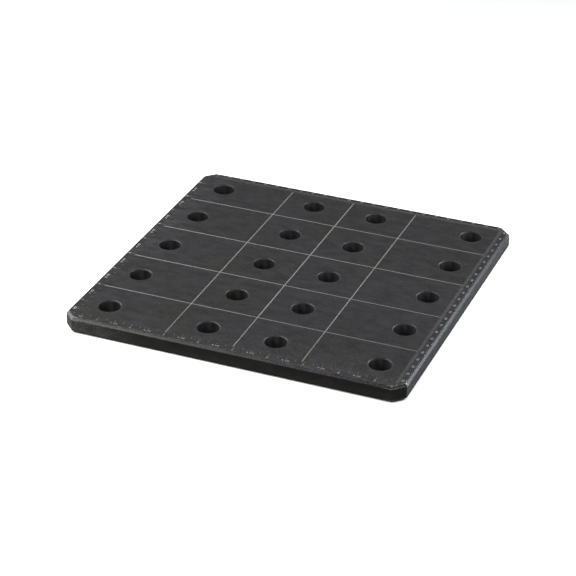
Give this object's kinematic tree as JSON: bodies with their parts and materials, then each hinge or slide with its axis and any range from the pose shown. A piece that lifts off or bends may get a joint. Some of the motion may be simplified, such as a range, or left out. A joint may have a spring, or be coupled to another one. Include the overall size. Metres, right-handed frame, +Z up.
{
  "type": "welding plate",
  "caption": "Flat square steel plate with chamfered edges, cut corners, a pattern of through holes for clamping pins, and an engraved grid and rulers on its work face.",
  "frame": {"origin": "centre of the underside", "axes": "+X along the front edge, +Y from the front edge to the back edge, +Z up through the work face"},
  "size_m": [0.25, 0.25, 0.012],
  "materials": {
    "steel": "dark satin hardened surface, bare bright steel in the engraved lines, lighter worn chamfers"
  },
  "bodies": {
    "root": {"plate": "steel"}
  },
  "joints": []
}
